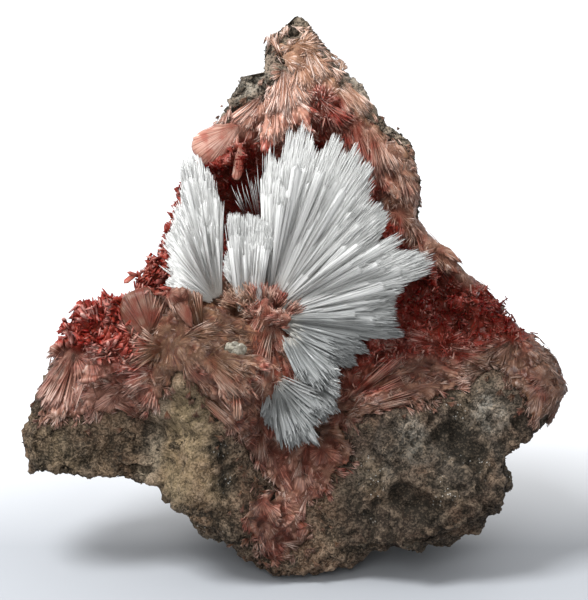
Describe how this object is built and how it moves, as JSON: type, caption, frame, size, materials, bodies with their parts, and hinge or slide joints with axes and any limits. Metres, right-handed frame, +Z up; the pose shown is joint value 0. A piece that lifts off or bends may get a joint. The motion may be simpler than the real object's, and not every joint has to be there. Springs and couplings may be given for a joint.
{
  "type": "natrolite with inesite specimen",
  "caption": "Mineral specimen: white radiating natrolite sprays in a pink to red inesite crust on a wedge of rough brown rock, standing on its own flat base.",
  "frame": {"origin": "on the flat patch that the rock rests on, under the middle of the specimen", "axes": "+Z up, +Y away from the viewer of the crystal face, +X to that viewer's right"},
  "size_m": [0.1, 0.0578, 0.0965],
  "materials": {
    "host_rock": "rough granular brown and grey-green volcanic rock",
    "inesite": "silky fibrous crystal, tan-pink outside to deep red in the hollow",
    "natrolite": "silky white needles, slightly translucent",
    "pale_crystal": "pale grey waxy crystal"
  },
  "bodies": {
    "root": {"host_rock": "host_rock", "inesite_crust": "inesite", "natrolite_main_spray": "natrolite", "natrolite_left_spray": "natrolite", "natrolite_lower_spray": "natrolite", "pale_crystal_chip": "pale_crystal"}
  },
  "joints": []
}
